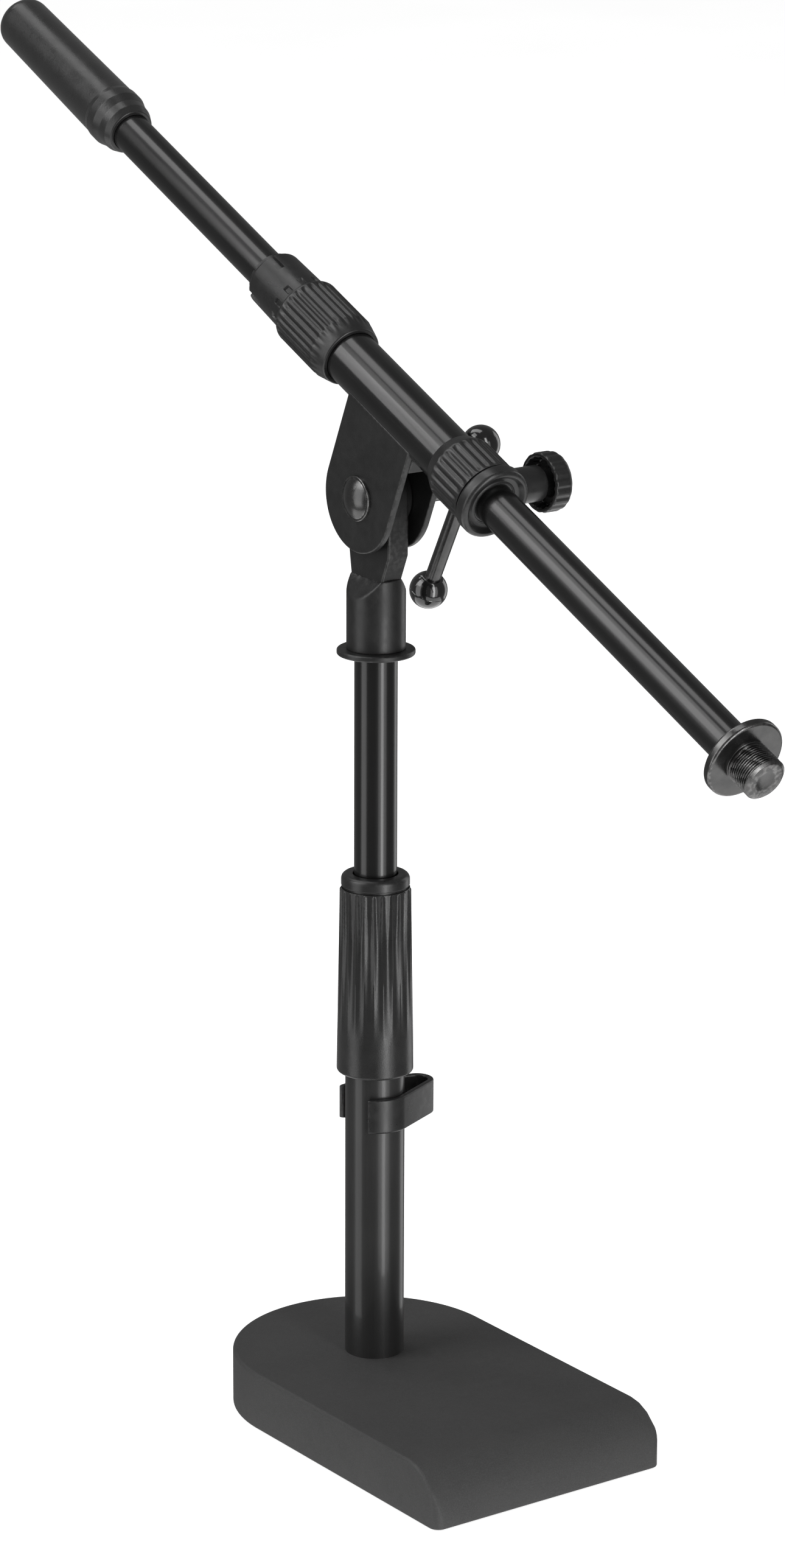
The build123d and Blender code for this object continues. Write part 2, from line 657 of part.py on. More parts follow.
with BuildPart() as clamp_knob:
    # scalloped rim, hollow behind, round a hub that meets the boss
    with BuildSketch(Plane(origin=KNOB_CENTRE + (KNOB_IN, 0, 0), x_dir=FORWARD, z_dir=(1, 0, 0))):
        Circle(KNOB_R)
        with PolarLocations(KNOB_R + KNOB_SCALLOP_OUT, KNOB_SCALLOPS):
            Circle(KNOB_SCALLOP_R, mode=Mode.SUBTRACT)
    extrude(amount=KNOB_OUT - KNOB_IN)
    body = [
        (KNOB_IN, 0),
        (KNOB_OUT, 0),
        (KNOB_OUT, KNOB_R - 2.0),
        (KNOB_OUT - 0.6, KNOB_R - 0.8),
        (KNOB_OUT - 2.0, KNOB_R),
        (KNOB_IN + 1.2, KNOB_R),
        (KNOB_IN, KNOB_R - 1.0),
    ]
    revolve(outline(KNOB_SIDE, body), axis=KNOB_AXIS, mode=Mode.INTERSECT)
    revolve(
        outline(KNOB_SIDE, ring(KNOB_IN - OVER, KNOB_IN + KNOB_HOLLOW, KNOB_HUB_R, KNOB_HOLLOW_R)),
        axis=KNOB_AXIS,
        mode=Mode.SUBTRACT,
    )
    revolve(
        outline(KNOB_SIDE, ring(KNOB_IN - OVER, KNOB_OUT - KNOB_WALL, 0, SCREW_R - FIT)),
        axis=KNOB_AXIS,
        mode=Mode.SUBTRACT,
    )
save(clamp_knob, "clamp_knob")

with BuildPart() as clamp_screw:
    revolve(
        outline(KNOB_SIDE, ring(ROD_R + CLEAR, KNOB_OUT - KNOB_WALL, 0, SCREW_R - FIT)),
        axis=KNOB_AXIS,
    )
save(clamp_screw, "clamp_screw")

# ---- rear twist clutch of the boom ----
with BuildPart() as rear_collar:
    collar = [
        (COLLAR_BACK, COLLAR_BORE_R),
        (COLLAR_BACK, COLLAR_R - 1),
        (COLLAR_BACK + 1.5, COLLAR_R),
        (REAR_NUT_BACK - CLEAR, COLLAR_R + 0.5),
        (REAR_NUT_BACK - CLEAR, SLEEVE_R),
        (SLEEVE_REAR, SLEEVE_R),
        (SLEEVE_REAR, SLEEVE_BORE_R),
        (COLLAR_STEP, SLEEVE_BORE_R),
        (COLLAR_STEP, ROD_R + CLEAR),
        (COLLAR_SEAT, ROD_R + CLEAR),
        (COLLAR_SEAT, COLLAR_BORE_R),
    ]
    revolve(outline(BOOM_SIDE, collar), axis=BOOM_AXIS)
    # slots in its rear end
    with BuildSketch(across_boom(COLLAR_BACK)):
        with PolarLocations(COLLAR_R, COLLAR_SLOTS, start_angle=20):
            Rectangle(5, COLLAR_SLOT_WIDTH)
    extrude(amount=COLLAR_SLOT_LENGTH, mode=Mode.SUBTRACT)
save(rear_collar, "rear_collar")

with BuildPart() as boom_clutch_nut:
    with BuildSketch(across_boom(REAR_NUT_BACK)):
        Circle(REAR_NUT_R)
        with PolarLocations(REAR_NUT_R + REAR_FLUTE_OUT, REAR_NUT_RIBS):
            Circle(REAR_FLUTE_R, mode=Mode.SUBTRACT)
    extrude(amount=REAR_NUT_FRONT - REAR_NUT_BACK)
    turned = [
        (REAR_NUT_BACK, SLEEVE_R + FIT),
        (REAR_NUT_FRONT, SLEEVE_R + FIT),
        (REAR_NUT_FRONT, REAR_NUT_R - 1.6),
        (REAR_NUT_FRONT - 3, REAR_NUT_R - 0.4),
        (REAR_NUT_FRONT - 6, REAR_NUT_R),
        (REAR_NUT_BACK + 2, REAR_NUT_R),
        (REAR_NUT_BACK, REAR_NUT_R - 1),
    ]
    revolve(outline(BOOM_SIDE, turned), axis=BOOM_AXIS, mode=Mode.INTERSECT)
save(boom_clutch_nut, "boom_clutch_nut")

with BuildPart() as boom_collet:
    revolve(
        outline(BOOM_SIDE, ring(COLLET_BACK, COLLAR_SEAT - CLEAR, ROD_R + FIT, BUSH_R)),
        axis=BOOM_AXIS,
    )
    with BuildSketch(across_boom(COLLET_BACK)):
        with PolarLocations(BUSH_R - 1, COLLET_SLOTS, start_angle=65):
            Rectangle(4, COLLET_SLOT_WIDTH)
    extrude(amount=COLLET_SLOT_LENGTH, mode=Mode.SUBTRACT)
save(boom_collet, "boom_collet")

# ---- boom rod with its end fitting and counterweight ----
with BuildPart() as boom_rod:
    revolve(outline(BOOM_SIDE, ring(ROD_REAR, ROD_FRONT, ROD_BORE_R, ROD_R)), axis=BOOM_AXIS)
save(boom_rod, "boom_rod")

with BuildPart() as boom_end_fitting:
    end = [
        (ROD_FRONT - PLUG_LENGTH, 0),
        (THREAD_TIP, 0),
        (THREAD_TIP, THREAD_R - 0.9),
        (THREAD_TIP - 0.9, THREAD_R),
        (END_FLANGE_FRONT, THREAD_R),
        (END_FLANGE_FRONT, END_FLANGE_R - 0.8),
        (END_FLANGE_FRONT - 0.8, END_FLANGE_R),
        (ROD_FRONT + 0.8, END_FLANGE_R),
        (ROD_FRONT, END_FLANGE_R - 0.8),
        (ROD_FRONT, ROD_BORE_R),
        (ROD_FRONT - PLUG_LENGTH, ROD_BORE_R),
    ]
    revolve(outline(BOOM_SIDE, end), axis=BOOM_AXIS)
save(boom_end_fitting, "boom_end_fitting")

with BuildPart() as rod_rear_plug:
    revolve(
        outline(BOOM_SIDE, ring(ROD_REAR, ROD_REAR + ROD_PLUG_LENGTH, 0, ROD_BORE_R)),
        axis=BOOM_AXIS,
    )
save(rod_rear_plug, "rod_rear_plug")

with BuildPart() as counterweight:
    revolve(outline(BOOM_SIDE, ring(ROD_REAR, JACKET_SEAT, ROD_R, WEIGHT_R)), axis=BOOM_AXIS)
save(counterweight, "counterweight")

with BuildPart() as counterweight_sleeve:
    jacket = [
        (WEIGHT_REAR, 0),
        (WEIGHT_REAR, JACKET_REAR_R),
        (JACKET_LIP_BACK - 2, JACKET_R),
        (JACKET_LIP_BACK, JACKET_LIP_R),
        (JACKET_LIP_FRONT, JACKET_LIP_R),
        (JACKET_LIP_FRONT + 3.5, JACKET_LIP_R - 1.1),
        (WEIGHT_FRONT - 3, JACKET_LIP_R - 1.4),
        (WEIGHT_FRONT, ROD_R + 1.8),
        (WEIGHT_FRONT, ROD_R),
        (JACKET_SEAT, ROD_R),
        (JACKET_SEAT, WEIGHT_R),
        (ROD_REAR, WEIGHT_R),
        (ROD_REAR, 0),
    ]
    revolve(outline(BOOM_SIDE, jacket), axis=BOOM_AXIS)
    fillet(counterweight_sleeve.edges().sort_by(BOOM_AXIS)[0], JACKET_END_R)
save(counterweight_sleeve, "counterweight_sleeve")
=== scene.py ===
"""Looks of the short boom microphone stand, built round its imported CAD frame.

Metres in the row frame: the mast's axis meets the floor at the origin, +Z is up, -Y is the front,
where the boom's threaded end points, and +X is the side of the T-handle and the clamp knob.
Sections and outlines are in millimetres, in the frame of the axis that they belong to.
"""
import json
from math import acos, asin, atan2, ceil, cos, degrees, hypot, pi, radians, sin, sqrt, tan

import bmesh
import bpy
from mathutils import Matrix, Vector


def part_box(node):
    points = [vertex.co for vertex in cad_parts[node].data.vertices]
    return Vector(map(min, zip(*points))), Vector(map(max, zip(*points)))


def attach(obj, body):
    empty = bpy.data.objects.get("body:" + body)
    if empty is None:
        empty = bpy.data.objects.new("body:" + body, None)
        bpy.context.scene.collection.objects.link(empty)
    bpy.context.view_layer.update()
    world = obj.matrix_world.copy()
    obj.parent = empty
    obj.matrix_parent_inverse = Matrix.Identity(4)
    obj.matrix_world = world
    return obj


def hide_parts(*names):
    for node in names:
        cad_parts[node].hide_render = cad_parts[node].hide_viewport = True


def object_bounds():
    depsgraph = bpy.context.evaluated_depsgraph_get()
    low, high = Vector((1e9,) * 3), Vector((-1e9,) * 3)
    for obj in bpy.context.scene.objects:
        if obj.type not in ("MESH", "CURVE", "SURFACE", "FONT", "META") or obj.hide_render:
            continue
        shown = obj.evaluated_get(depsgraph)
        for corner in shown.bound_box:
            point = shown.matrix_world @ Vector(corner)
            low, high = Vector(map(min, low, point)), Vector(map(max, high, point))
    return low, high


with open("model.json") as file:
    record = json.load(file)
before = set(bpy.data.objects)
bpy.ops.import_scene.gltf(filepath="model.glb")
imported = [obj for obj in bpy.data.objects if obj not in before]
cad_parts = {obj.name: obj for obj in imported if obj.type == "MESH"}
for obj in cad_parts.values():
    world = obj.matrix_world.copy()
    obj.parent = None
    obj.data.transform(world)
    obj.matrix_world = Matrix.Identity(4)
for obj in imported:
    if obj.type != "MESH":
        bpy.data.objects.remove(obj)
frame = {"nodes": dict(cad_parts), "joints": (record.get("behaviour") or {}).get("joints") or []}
cad_low, cad_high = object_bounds()

MM = 0.001
SHARP = radians(38)            # edges turning more than this are shaded as sharp
WEAR_FROM, WEAR_OVER = 7, 14   # degrees of turn where an edge starts to wear, and over which it grows
JOINTS = {joint["name"]: joint for joint in frame["joints"]}
SIDE = Vector((1, 0, 0))
scene = bpy.context.scene


# ---- places: matrices whose z runs along an axis, with millimetres for a unit ----
def place(origin, along, side=SIDE):
    """A frame at origin, with z along an axis and x as near as it can be to side."""
    z = Vector(along).normalized()
    x = Vector(side)
    x = (x - z * z.dot(x)).normalized()
    turn = Matrix((x, z.cross(x), z)).transposed().to_4x4()
    return Matrix.Translation(origin) @ turn @ Matrix.Scale(MM, 4)


def span(node, at):
    """How far a CAD node reaches along a place's z, from and to, and its greatest radius."""
    back = at.inverted()
    points = [back @ vertex.co for vertex in frame["nodes"][node].data.vertices]
    reach = [point.z for point in points]
    return min(reach), max(reach), max(hypot(point.x, point.y) for point in points)


def centre(node):
    """The middle of a CAD node's box."""
    low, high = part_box(node)
    return (low + high) / 2


FORWARD = -Vector(JOINTS["boom_roll"]["axis"])
LEAN = -asin(FORWARD.z)        # the boom's slope, front end down
MAST = place((0, 0, 0), (0, 0, 1))
BOOM = place(JOINTS["boom_roll"]["pos_m"], FORWARD)
PIVOT = place(JOINTS["boom_tilt"]["pos_m"], SIDE, FORWARD)
KNOB = place(JOINTS["clamp_knob_turn"]["pos_m"], SIDE, FORWARD)
BAR = place(centre("t_bar"), JOINTS["handle_bar_slide"]["axis"])


# ---- outlines ----
def rounded(corners, pieces=6, stride=0.0):
    """An outline of (a, b, radius) corners, each of them rounded by an arc of that many pieces.

    It is closed, unless it begins and ends on the axis, where b is 0. A support edge is added
    beside each arc, and straight runs are cut to stride."""
    support = 0.3
    arcs = []
    for index, (a, b, radius) in enumerate(corners):
        here = Vector((a, b))
        if radius <= 0:
            arcs.append([here])
            continue
        before = (Vector(corners[index - 1][:2]) - here).normalized()
        after = (Vector(corners[(index + 1) % len(corners)][:2]) - here).normalized()
        half = before.angle(after) / 2
        middle = here + (before + after).normalized() * (radius / sin(half))
        first = here + before * (radius / tan(half)) - middle
        last = here + after * (radius / tan(half)) - middle
        turn = atan2(first.x * last.y - first.y * last.x, first.dot(last))
        steps = [Matrix.Rotation(turn * piece / pieces, 2) for piece in range(pieces + 1)]
        arcs.append([middle + step @ first for step in steps])
    is_open = corners[0][1] == 0 and corners[-1][1] == 0
    points = []
    for index, arc in enumerate(arcs):
        points += arc
        if is_open and index == len(arcs) - 1:
            break
        begin, end = arc[-1], arcs[(index + 1) % len(arcs)][0]
        run = (end - begin).length
        if run < 4 * support:
            continue
        cuts = max(1, ceil(run / stride)) if stride else 1
        shares = [support / run] + [cut / cuts for cut in range(1, cuts)] + [1 - support / run]
        points += [begin.lerp(end, share) for share in sorted(shares)]
    return [tuple(point) for point in points]


def arc_points(centre_a, centre_b, radius, start, end, pieces):
    """Points on an arc, with its angles in degrees."""
    angles = [radians(start + (end - start) * piece / pieces) for piece in range(pieces + 1)]
    return [(centre_a + radius * cos(angle), centre_b + radius * sin(angle)) for angle in angles]


# ---- meshes ----
def turned(work, section, at, steps=96, wave=None):
    """Adds a half section of (height, radius) points turned about a place's z.

    wave(height, radius, angle) gives the radius there, for ribs, flutes, slots and threads."""
    rings = []
    for height, radius in section:
        if radius < 1e-6:
            rings.append([work.verts.new(at @ Vector((0, 0, height)))])
            continue
        ring = []
        for step in range(steps):
            angle = 2 * pi * step / steps
            reach = wave(height, radius, angle) if wave else radius
            corner = Vector((reach * cos(angle), reach * sin(angle), height))
            ring.append(work.verts.new(at @ corner))
        rings.append(ring)
    followers = rings[1:] if len(rings[0]) == len(rings[-1]) == 1 else rings[1:] + rings[:1]
    for ring, follower in zip(rings, followers):
        for step in range(steps):
            after = (step + 1) % steps
            corners = [ring[step % len(ring)], ring[after % len(ring)]]
            corners += [follower[after % len(follower)], follower[step % len(follower)]]
            work.faces.new(list(dict.fromkeys(corners)))


def loft(work, rings, at):
    """Adds a skin through closed rings of (x, y, height) points, capped at both ends."""
    made = [[work.verts.new(at @ Vector(corner)) for corner in ring] for ring in rings]
    for lower, upper in zip(made, made[1:]):
        for index in range(len(lower)):
            after = (index + 1) % len(lower)
            work.faces.new((lower[index], lower[after], upper[after], upper[index]))
    work.faces.new(made[0])
    work.faces.new(made[-1])


def drawn_in(outline, inset):
    """A closed outline with each point moved this far towards its inside."""
    points = [Vector(point) for point in outline]
    area = sum(a.x * b.y - b.x * a.y for a, b in zip(points, points[1:] + points[:1]))
    inside = 1 if area > 0 else -1
    moved = []
    for before, here, after in zip(points[-1:] + points, points, points[1:] + points[:1]):
        into = (here - before).normalized()
        out = (after - here).normalized()
        normal = Vector((-into.y - out.y, into.x + out.x)).normalized()
        lean = max(0.4, normal.dot(Vector((-out.y, out.x))))
        moved.append(tuple(here + normal * inside * inset / lean))
    return moved


def prism(work, outline, low, high, at, edge=0.5, pieces=4):
    """Adds an outline of (x, y) points pulled along a place's z, with rounded rims."""
    support = 0.35
    rows = [(edge + support, 0.0)]
    for step in range(pieces + 1):
        angle = pi / 2 * step / pieces
        rows.append((edge * (1 - sin(angle)), edge * (1 - cos(angle))))
    rows.append((0.0, edge + support))
    rings = []
    for inset, rise in rows:
        rings.append([(x, y, low + rise) for x, y in drawn_in(outline, inset)])
    for inset, rise in reversed(rows):
        rings.append([(x, y, high - rise) for x, y in drawn_in(outline, inset)])
    loft(work, rings, at)


def furrow(angle, count, power):
    """How deep into one of count furrows round a piece an angle is: 1 at the middle of each."""
    return (0.5 + 0.5 * cos(count * angle)) ** power


def solid(name, work, material):
    """Makes an object of a bmesh, in one material."""
    mesh = bpy.data.meshes.new(name)
    work.to_mesh(mesh)
    work.free()
    mesh.materials.append(material)
    made = bpy.data.objects.new(name, mesh)
    scene.collection.objects.link(made)
    return made


def piece(name, work, body, slot, *nodes):
    """Makes a piece of a bmesh: shades it, marks its worn edges and ties it to the frame."""
    bmesh.ops.recalc_face_normals(work, faces=work.faces)
    wear = work.verts.layers.float.new("wear")
    for face in work.faces:
        face.smooth = True
    for edge in work.edges:
        turn = edge.calc_face_angle_signed(0)
        edge.smooth = abs(turn) < SHARP
        share = min(1.0, max(0.0, (degrees(turn) - WEAR_FROM) / WEAR_OVER))
        for vertex in edge.verts:
            vertex[wear] = max(vertex[wear], share)
    made = solid(name, work, MATERIALS[slot])
    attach(made, body)
    if nodes:
        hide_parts(*nodes)


# ---- materials ----
class Paint:
    """A node material: a Principled shader, and the few nodes that drive it."""

    def __init__(self, name, **fixed):
        self.material = bpy.data.materials.new(name)
        self.material.use_nodes = True
        self.tree = self.material.node_tree
        self.shader = self.tree.nodes["Principled BSDF"]
        for socket, value in fixed.items():
            self.shader.inputs[socket.replace("_", " ")].default_value = value
        self.where = self.tree.nodes.new("ShaderNodeTexCoord").outputs["Object"]

    def link(self, output, target):
        """Joins an output to an input."""
        self.tree.links.new(output, target)

    def drawn(self, lean, stretch):
        """Object coordinates turned by lean about X and shortened along the tube, for streaks."""
        turn = self.tree.nodes.new("ShaderNodeMapping")
        turn.inputs["Rotation"].default_value = (lean, 0, 0)
        squeeze = self.tree.nodes.new("ShaderNodeMapping")
        squeeze.inputs["Scale"].default_value = (1, 1, 1 / stretch)
        self.link(self.where, turn.inputs["Vector"])
        self.link(turn.outputs["Vector"], squeeze.inputs["Vector"])
        return squeeze.outputs["Vector"]

    def noise(self, size, detail=3.0, rough=0.5, where=None):
        """Noise with features of this size in millimetres."""
        node = self.tree.nodes.new("ShaderNodeTexNoise")
        node.inputs["Scale"].default_value = 1 / (size * MM)
        node.inputs["Detail"].default_value = detail
        node.inputs["Roughness"].default_value = rough
        self.link(where or self.where, node.inputs["Vector"])
        return node.outputs["Fac"]

    def pebbles(self, size):
        """Rounded cells of this size in millimetres, as moulded rubber and plastic have."""
        node = self.tree.nodes.new("ShaderNodeTexVoronoi")
        node.feature = "SMOOTH_F1"
        node.inputs["Scale"].default_value = 1 / (size * MM)
        self.link(self.where, node.inputs["Vector"])
        return node.outputs["Distance"]

    def spread(self, value, low, high, start=0.3, end=0.7):
        """A noise value mapped to a range."""
        node = self.tree.nodes.new("ShaderNodeMapRange")
        node.inputs["From Min"].default_value = start
        node.inputs["From Max"].default_value = end
        node.inputs["To Min"].default_value = low
        node.inputs["To Max"].default_value = high
        self.link(value, node.inputs["Value"])
        return node.outputs["Result"]

    def product(self, first, second):
        """One value times another."""
        node = self.tree.nodes.new("ShaderNodeMath")
        node.operation = "MULTIPLY"
        self.link(first, node.inputs[0])
        self.link(second, node.inputs[1])
        return node.outputs[0]

    def blend(self, share, first, second):
        """A colour between two colours, each of which may be an output."""
        node = self.tree.nodes.new("ShaderNodeMix")
        node.data_type = "RGBA"
        self.link(share, node.inputs["Factor"])
        for socket, colour in ((node.inputs[6], first), (node.inputs[7], second)):
            if isinstance(colour, tuple):
                socket.default_value = (*colour, 1)
            else:
                self.link(colour, socket)
        return node.outputs[2]

    def mottle(self, size, first, second, detail=3.0):
        """A colour that drifts between two, in clouds of this size in millimetres."""
        return self.blend(self.spread(self.noise(size, detail), 0, 1), first, second)

    def worn(self, size):
        """How worn the surface is: its exposed edges, broken up by noise."""
        edge = self.tree.nodes.new("ShaderNodeAttribute")
        edge.attribute_name = "wear"
        return self.product(edge.outputs["Fac"], self.spread(self.noise(size), 0, 1, 0.42, 0.62))

    def bump(self, height, depth, under=None):
        """Relief of this depth in millimetres, on top of another relief."""
        node = self.tree.nodes.new("ShaderNodeBump")
        node.inputs["Distance"].default_value = depth * MM
        self.link(height, node.inputs["Height"])
        if under:
            self.link(under, node.inputs["Normal"])
        return node.outputs["Normal"]

    def finish(self, colour, roughness, normal):
        """The material, with these outputs driving its shader."""
        self.link(colour, self.shader.inputs["Base Color"])
        self.link(roughness, self.shader.inputs["Roughness"])
        self.link(normal, self.shader.inputs["Normal"])
        return self.material


def grey(value, warmth=0.0):
    """A near-neutral colour, a little warm where warmth is above 0."""
    return (value * (1 + warmth), value, value * (1 - warmth))


def powder_coat():
    """Fine-textured matt powder coat over the cast base."""
    paint = Paint("powder_coat_base", Specular_IOR_Level=0.4)
    speck = paint.spread(paint.noise(0.45, 2), 0, 1, 0.35, 0.75)
    colour = paint.mottle(22, grey(0.046), grey(0.053, 0.01), 4)
    colour = paint.blend(speck, colour, grey(0.066))
    roughness = paint.spread(paint.noise(6), 0.52, 0.62)
    soft = paint.bump(paint.noise(2.6, 2), 0.05)
    return paint.finish(colour, roughness, paint.bump(paint.noise(0.42, 3, 0.6), 0.06, soft))


def pad_rubber():
    """Matt black foam rubber under the base."""
    paint = Paint("pad_rubber", Specular_IOR_Level=0.3)
    colour = paint.mottle(4, grey(0.008), grey(0.016))
    normal = paint.bump(paint.pebbles(0.6), 0.12)
    return paint.finish(colour, paint.spread(paint.noise(2), 0.8, 0.95), normal)


def zinc_steel():
    """Bright zinc on steel, for what is inside."""
    paint = Paint("zinc_steel", Metallic=1.0)
    colour = paint.mottle(3, grey(0.42), grey(0.55, 0.02))
    normal = paint.bump(paint.noise(0.3), 0.01)
    return paint.finish(colour, paint.spread(paint.noise(1.5), 0.3, 0.45), normal)


def gloss_tube(name, lean, tone, gloss):
    """Smooth black paint on drawn tube, with faint streaks along it.

    lean turns the streaks along the tube, tone is its grey, and gloss its least roughness."""
    paint = Paint(
        name, Specular_IOR_Level=0.5, Coat_Weight=0.35, Coat_Roughness=0.08, Coat_IOR=1.45
    )
    streak = paint.noise(0.9, 3, 0.55, paint.drawn(lean, 40))
    colour = paint.mottle(30, grey(tone), grey(tone * 1.5, 0.01), 4)
    peel = paint.bump(paint.noise(2.4, 2), 0.003)
    roughness = paint.spread(streak, gloss, gloss + 0.07)
    return paint.finish(colour, roughness, paint.bump(streak, 0.001, peel))


def black_zinc():
    """Black plated steel and castings, burnished where hands and spanners reach."""
    paint = Paint("black_zinc", Metallic=0.9)
    colour = paint.mottle(5, grey(0.085), grey(0.115, 0.01), 4)
    colour = paint.blend(paint.worn(1.4), colour, grey(0.2, 0.01))
    roughness = paint.spread(paint.noise(2.2, 4), 0.18, 0.28)
    return paint.finish(colour, roughness, paint.bump(paint.noise(0.5, 3), 0.012))


def nylon_black():
    """Moulded black nylon with a fine matt grain."""
    paint = Paint("nylon_black", Specular_IOR_Level=0.5)
    colour = paint.mottle(8, grey(0.015), grey(0.020))
    colour = paint.blend(paint.worn(1.0), colour, grey(0.03))
    roughness = paint.spread(paint.noise(3), 0.26, 0.36)
    flow = paint.bump(paint.noise(3.5, 2), 0.02)
    return paint.finish(colour, roughness, paint.bump(paint.noise(0.28, 2), 0.014, flow))


def grip_rubber():
    """Matt black rubber with a fine pebbled skin and a trace of handling."""
    paint = Paint("grip_rubber", Specular_IOR_Level=0.5, Sheen_Weight=0.08, Sheen_Roughness=0.5)
    colour = paint.mottle(14, grey(0.013), grey(0.019, 0.01), 4)
    colour = paint.blend(paint.worn(2.0), colour, grey(0.035, 0.01))
    roughness = paint.spread(paint.noise(5, 4), 0.25, 0.34)
    soft = paint.bump(paint.noise(2.2, 2), 0.03)
    return paint.finish(colour, roughness, paint.bump(paint.pebbles(0.42), 0.02, soft))


def acetal():
    """Dark acetal of the hidden bushes."""
    paint = Paint("acetal", Specular_IOR_Level=0.5)
    colour = paint.mottle(4, grey(0.03), grey(0.045))
    normal = paint.bump(paint.noise(0.8), 0.01)
    return paint.finish(colour, paint.spread(paint.noise(2), 0.35, 0.5), normal)


def satin_black():
    """Satin black paint over castings and pressed steel, thin and lighter on the edges."""
    paint = Paint("satin_black", Specular_IOR_Level=0.5)
    colour = paint.mottle(12, grey(0.012), grey(0.016), 4)
    colour = paint.blend(paint.worn(1.6), colour, grey(0.045, 0.01))
    roughness = paint.spread(paint.noise(4, 4), 0.32, 0.44)
    soft = paint.bump(paint.noise(3.2, 2), 0.03)
    return paint.finish(colour, roughness, paint.bump(paint.noise(0.55, 3), 0.016, soft))


def gloss_ball():
    """Polished phenolic of the handle's balls, with hairline handling marks."""
    paint = Paint("gloss_ball", Specular_IOR_Level=0.55, Coat_Weight=0.8, Coat_Roughness=0.03)
    colour = paint.mottle(3, grey(0.006), grey(0.009))
    roughness = paint.spread(paint.noise(0.8, 4), 0.08, 0.2)
    return paint.finish(colour, roughness, paint.bump(paint.noise(1.8, 3), 0.004))


MATERIALS = {
    "powder_coat_base": powder_coat(),
    "pad_rubber": pad_rubber(),
    "zinc_steel": zinc_steel(),
    "gloss_tube": gloss_tube("gloss_tube", 0.0, 0.005, 0.2),
    "lower_tube": gloss_tube("gloss_tube_lower", 0.0, 0.014, 0.3),
    "boom_tube": gloss_tube("gloss_tube_boom", pi / 2 - LEAN, 0.005, 0.2),
    "black_zinc": black_zinc(),
    "nylon_black": nylon_black(),
    "grip_rubber": grip_rubber(),
    "acetal": acetal(),
    "satin_black": satin_black(),
    "gloss_ball": gloss_ball(),
}


def finish_cad_nodes():
    """Gives every CAD node the material of its slot, and three of the tubes their own paint."""
    own = {"lower_tube": "lower_tube", "boom_sleeve": "boom_tube", "boom_rod": "boom_tube"}
    for name, node in frame["nodes"].items():
        slot = own.get(name, node.data.materials[0].name.split(".")[0])
        for index in range(len(node.data.materials)):
            node.data.materials[index] = MATERIALS[slot]


# ---- base ----
def base():
    """Cast base with a rounded top edge, whose front falls away in a quarter of an ellipse."""
    low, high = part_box("base_casting")
    half, front, foot, top = high.x / MM, low.y / MM, low.z / MM, high.z / MM
    round_y = high.y / MM - half
    edge, foot_edge, corner = 1.4, 0.5, 4.0
    nose_length, nose_height = 18.0, 18.6
    side_cuts, corner_cuts, rear_cuts, front_cuts = 24, 8, 96, 12
    edge_cuts, nose_cuts, foot_cuts = 8, 30, 4
    least_step, weld = 0.05, 0.002

    def plan(inset):
        """The plan drawn in by this much, as the same number of points whatever the inset."""
        reach = half - inset
        near = front + inset
        turn = max(corner - inset, 0.3)
        run = near + turn - round_y
        flank = [(-reach, round_y + run * cut / side_cuts) for cut in range(side_cuts)]
        flank += arc_points(turn - reach, near + turn, turn, 180, 270, corner_cuts)
        cuts = range(1, front_cuts)
        lip = [((turn - reach) * (1 - 2 * cut / front_cuts), near) for cut in cuts]
        rear = arc_points(0, round_y, reach, 0, 180, rear_cuts)[:-1]
        return rear + flank + lip + [(-x, y) for x, y in reversed(flank)]

    def surface(inset, y):
        """The height of the top there, from the nose's ellipse and the rounded edge."""
        height = top
        if y < front + nose_length:
            fall = max(0.0, 1 - ((front + nose_length - y) / nose_length) ** 2)
            height -= nose_height * (1 - sqrt(fall))
        if inset < edge:
            height -= edge - sqrt(edge**2 - (edge - inset) ** 2)
        return height

    rings = []
    for cut in range(foot_cuts + 1):
        angle = pi / 2 * cut / foot_cuts
        rise = foot_edge * (1 - cos(angle))
        rings.append([(x, y, foot + rise) for x, y in plan(foot_edge * (1 - sin(angle)))])
    # rings across the top: close together on its rounded edge, and over the nose's ellipse
    insets = [edge * (1 - cos(pi / 2 * cut / edge_cuts)) for cut in range(edge_cuts + 1)]
    steps = [nose_length * (1 - cos(pi / 2 * cut / nose_cuts)) for cut in range(nose_cuts + 1)]
    for inset in sorted(insets + [step for step in steps if step > least_step]):
        rings.append([(x, y, surface(inset, y)) for x, y in plan(inset)])
    work = bmesh.new()
    loft(work, rings, MAST)
    bmesh.ops.remove_doubles(work, verts=work.verts, dist=weld * MM)
    piece("base_body", work, "stand", "powder_coat_base", "base_casting")


# ---- mast ----
def mast_grip():
    """Tapered rubber grip: flutes cut in from its top end and run out above its foot."""
    low, high, foot_radius = span("clutch_grip", MAST)
    nut_radius = span("clutch_nut", MAST)[2]
    bore = span("lower_tube", MAST)[2] + 0.5
    top_radius = foot_radius - 1.0
    flutes, depth, crest_round = 24, 1.15, 0.01
    run_out, full = low + 15, high - 6

    def fluted(height, radius, angle):
        if radius < nut_radius + 0.1:
            return radius
        rise = min(1.0, max(0.0, (height - run_out) / (full - run_out)))
        cut = depth * rise**0.8 * sqrt(cos(flutes / 2 * angle) ** 2 + crest_round)
        return max(nut_radius + 0.05, radius - cut)

    section = rounded(
        [
            (low, bore, 0.3),
            (low, foot_radius, 1.0),
            (high, top_radius, 1.0),
            (high, nut_radius, 0),
            (low + 1.5, nut_radius, 0),
            (low + 1.5, bore, 0),
        ],
        stride=2.5,
    )
    work = bmesh.new()
    turned(work, section, MAST, flutes * 12, fluted)
    piece("mast_grip", work, "mast_clutch", "grip_rubber", "clutch_grip")


